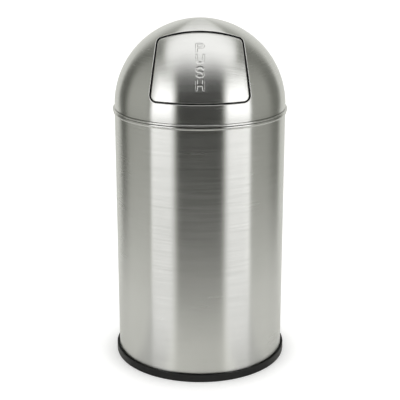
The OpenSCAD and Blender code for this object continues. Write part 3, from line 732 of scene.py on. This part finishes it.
def build_ring():
    """The moulded base ring: its wall stands round the tube's foot with an open groove between them."""
    out, groove, wall, flange = BODY_MM + 5.44, BODY_MM - 1.1, BODY_MM - 4.1, BODY_MM - 16.1
    rim, top, step, foot, base = out - 2.4, 16, 12, 5, 2.5
    section = rounded([(out, 0, 1.2), (out, top, 1.15), (rim, top, 1.15), (rim, foot, 1.0),
                       (groove, foot, 0.2), (groove, step, 0.5), (wall, step, 0.5), (wall, base, 0.8),
                       (flange, base, 0.4), (flange, 0, 0.4)])
    turn = np.linspace(0, 2 * math.pi, 289)[:-1]
    rings = [np.stack([r * np.sin(turn), -r * np.cos(turn), np.full(len(turn), z)], -1) for r, z in section]
    points = np.concatenate(rings) / 1000
    faces = ring_faces(len(rings), len(turn), closed=True)
    ring = make_piece("base_moulding", points, faces, black_plastic, "body")
    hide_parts("base_ring")


# ---------------------------------------------------------------- studs and springs
STUD_X, STUD_YS = 74.55, (-44.39, -32.39)
STUD_R, STUD_LENGTH, THREAD_PITCH, THREAD_DEPTH = 1.98, 7.3, 0.7, 0.36


def stud_points(x, y, around, steps):
    """Rings of points down one stud, which stands square to the dome's face."""
    axis = np.array([x, y, 0.0])
    axis[2] = math.sqrt(BODY_MM ** 2 - x * x - y * y)
    axis /= BODY_MM
    u = np.cross(axis, [0, 0, 1.0])
    u /= np.linalg.norm(u)
    v = np.cross(axis, u)
    points = []
    for k in range(steps + 1):
        drop = SHEET_MM / 2 + STUD_LENGTH * k / steps
        # The thread fades at both ends, and the tip has a chamfer
        fade = min(1, max(0, (drop - 1.6) / 0.5)) * min(1, (STUD_LENGTH + SHEET_MM / 2 - drop) / 0.4 + 0.2)
        chamfer = 0.35 if k == steps else 0
        for s in range(around):
            a = 2 * math.pi * s / around
            wave = abs(((drop / THREAD_PITCH - s / around) % 1) * 2 - 1)
            r = STUD_R - THREAD_DEPTH * fade * wave - chamfer
            points.append(CENTRE + axis * (BODY_MM - drop) + r * (math.cos(a) * u + math.sin(a) * v))
    return points


def build_studs():
    """The four threaded studs under the dome."""
    around, steps = 20, 66
    points, faces = [], []
    for side in (-1, 1):
        for y in STUD_YS:
            first = len(points)
            points += stud_points(side * STUD_X, y, around, steps)
            faces += ring_faces(steps + 1, around, start=first)
            faces.append(tuple(first + steps * around + s for s in range(around)))
    make_piece("dome_studs", np.array(points) / 1000, faces, plated, "dome")


def spring_path():
    """Points along the right spring's wire, from the hinge rod's axis: hook, leg, coil and back leg."""
    start_x, coil_r, turns, pitch = 50.5, 3.9, 5, 2.4
    hook_l, hook_y, hook_z, bend, back_leg = 4.5, -47.08, -9.2, 1.3, 17.0
    slope = math.atan2(-hook_z, -hook_y) + math.asin(coil_r / math.hypot(hook_y, hook_z))
    end_x = start_x + turns * pitch
    steps = 24 * turns
    angles = np.linspace(math.pi / 2 + slope, math.pi / 2 - 2 * math.pi * turns, steps + 1)
    coil = [(start_x + (end_x - start_x) * k / steps, coil_r * math.cos(a), coil_r * math.sin(a))
            for k, a in enumerate(angles)]
    corner = np.array([start_x, hook_y, hook_z])
    leg = np.array(coil[0]) - corner
    leg /= np.linalg.norm(leg)
    # The hook bends off the leg in a small round
    aside = np.array([-1.0, 0, 0])
    middle = corner + bend * (leg + aside)
    path = [corner + aside * hook_l, corner + aside * (hook_l - 0.3)]
    path += [middle - bend * (math.sin(a) * aside + math.cos(a) * leg)
             for a in np.linspace(0, math.pi / 2, 7)]
    path += [corner + (np.array(coil[0]) - corner) * f for f in (0.3, 0.6, 0.9)]
    path += coil + [(end_x, y, coil_r) for y in (back_leg * 0.5, back_leg - 0.3, back_leg)]
    return np.array(path)


def build_springs():
    """The flap's two torsion springs, with the hook at the flap, the back leg on the bracket's perch, and
    the coil between them. They are built in place and attached to no body."""
    rod = np.array([0, -60.253, 671.001])
    wire_r, sides = 0.9, 12
    path = spring_path()
    step = unit(np.diff(path, axis=0))
    tangents = unit(np.concatenate([step[:1], step[:-1] + step[1:], step[-1:]]))
    turn = np.linspace(0, 2 * math.pi, sides + 1)[:-1, None]
    across, points = np.array([0, 0, 1.0]), []
    for k, (p, tangent) in enumerate(zip(path, tangents)):
        across = across - (across @ tangent) * tangent
        across /= np.linalg.norm(across)
        # The wire's two ends are chamfered
        r = wire_r * (0.7 if k in (0, len(path) - 1) else 1)
        points.append(rod + p + r * (np.cos(turn) * across + np.sin(turn) * np.cross(tangent, across)))
    points = np.concatenate(points)
    ends = [tuple(range(sides))[::-1], tuple(range(len(points) - sides, len(points)))]
    faces = ring_faces(len(path), sides) + ends
    for side, word in ((-1, "left"), (1, "right")):
        spring = make_piece("spring_wire_" + word, points * [side, 1, 1] / 1000,
                            [f[::side] for f in faces], spring_wire, None)
        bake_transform(spring)
        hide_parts("flap_spring_" + word)


build_flap()
build_springs()
build_dome()
build_tube()
build_ring()
build_studs()


# ---------------------------------------------------------------- floor
def build_floor():
    """Pale paper. The camera sees it as white, with the bin's shadow on it. The bin mirrors only the
    paper nearby, and the studio beyond it."""
    size = 30
    corners = [(-size, -size, 0), (size, -size, 0), (size, size, 0), (-size, size, 0)]
    mesh = bpy.data.meshes.new("floor")
    mesh.from_pydata(corners, [], [(0, 1, 2, 3)])
    floor = bpy.data.objects.new("floor", mesh)
    scene.collection.objects.link(floor)
    m = bpy.data.materials.new("floor")
    m.use_nodes = True
    t = Tree(m.node_tree)
    out = t.node("ShaderNodeOutputMaterial")
    paper = t.node("ShaderNodeBsdfDiffuse")
    paper.inputs["Color"].default_value = (0.8, 0.8, 0.8, 1)
    clear = t.node("ShaderNodeBsdfTransparent")
    glow = t.node("ShaderNodeEmission")
    path = t.node("ShaderNodeLightPath")
    mirrored = path.outputs["Is Glossy Ray"]
    p = t.xyz(t.node("ShaderNodeTexCoord").outputs["Object"])
    away = t.hypot(p[0], p[1])
    aside = t.front_angle(p[0], p[1])
    # The mirrored paper reaches less far in front, and is less bright where the soft boxes stand
    boxes = t.mul(t.ramp(aside, 26, 36), t.ramp(aside, 54, 66, 1.0, 0.0))
    far = t.math("DIVIDE", away, t.lerp(boxes, t.ramp(aside, 22, 36, 1.0, 1.46), 1.12))
    fade_start, fade_end = 0.3, 1.1
    sheet = t.mix_shader(t.mul(mirrored, t.ramp(far, fade_start, fade_end)), paper, clear)
    t.link(t.mix(mirrored, (1.0, 1.0, 1.0), (1.0, 1.0, 0.85)), glow.inputs["Color"])
    near = t.mul(mirrored, t.ramp(far, fade_start, fade_end, 0.21, 0.0))
    near = t.mul(near, t.lerp(boxes, t.ramp(aside, 22, 36, 1.22, 0.86), 0.2))
    # What the camera sees is lifted to white, and less so close to the bin, which paints a darker shadow
    # round its foot on top of the real one
    lift = t.ramp(away, 0.176, 0.228, 0.345, 0.51)
    t.link(t.math("MULTIPLY_ADD", path.outputs["Is Camera Ray"], lift, near), glow.inputs["Strength"])
    both = t.node("ShaderNodeAddShader")
    t.link(sheet.outputs[0], both.inputs[0])
    t.link(glow.outputs[0], both.inputs[1])
    t.link(both.outputs[0], out.inputs["Surface"])
    dress(floor, m)


build_floor()
